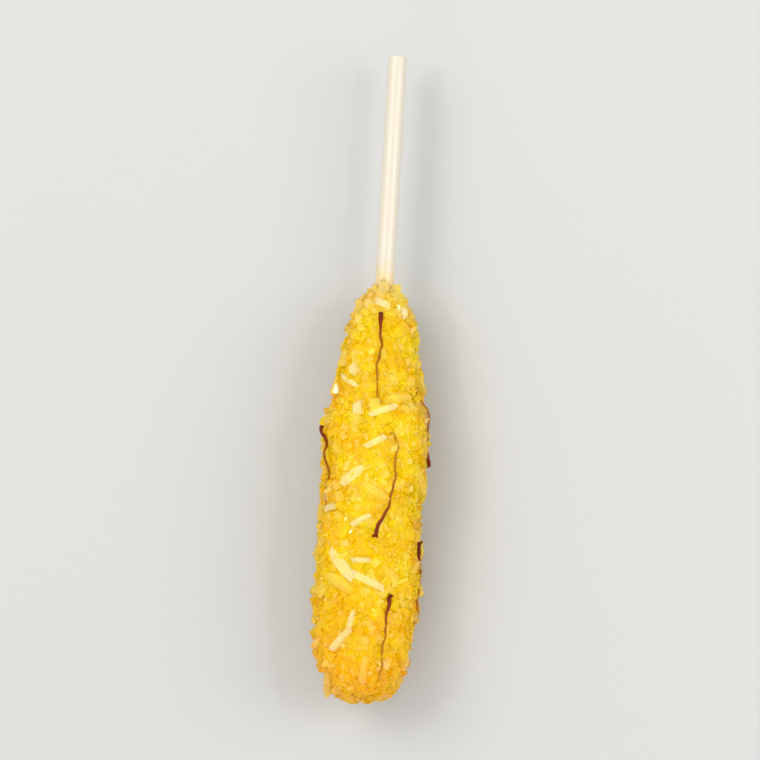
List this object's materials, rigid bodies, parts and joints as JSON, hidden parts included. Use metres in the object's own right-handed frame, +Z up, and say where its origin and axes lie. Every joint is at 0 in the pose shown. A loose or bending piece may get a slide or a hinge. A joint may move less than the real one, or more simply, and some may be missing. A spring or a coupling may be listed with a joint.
{
  "type": "rock candy stick",
  "caption": "Yellow crystal sugar grown on a straight white stick with a bare handle end, with thin saffron threads on the sugar.",
  "frame": {"origin": "on the surface that the sugar lies on, below the middle of the whole", "axes": "+Y along the stick towards the end of the bare handle, +Z up from the flat spot, +X to the right of the handle"},
  "size_m": [0.0271, 0.1526, 0.0266],
  "materials": {
    "stick_plastic": "satin",
    "crystal_sugar": "gloss",
    "saffron": "matte"
  },
  "bodies": {
    "root": {"stick": "stick_plastic", "candy": "crystal_sugar"}
  },
  "joints": []
}
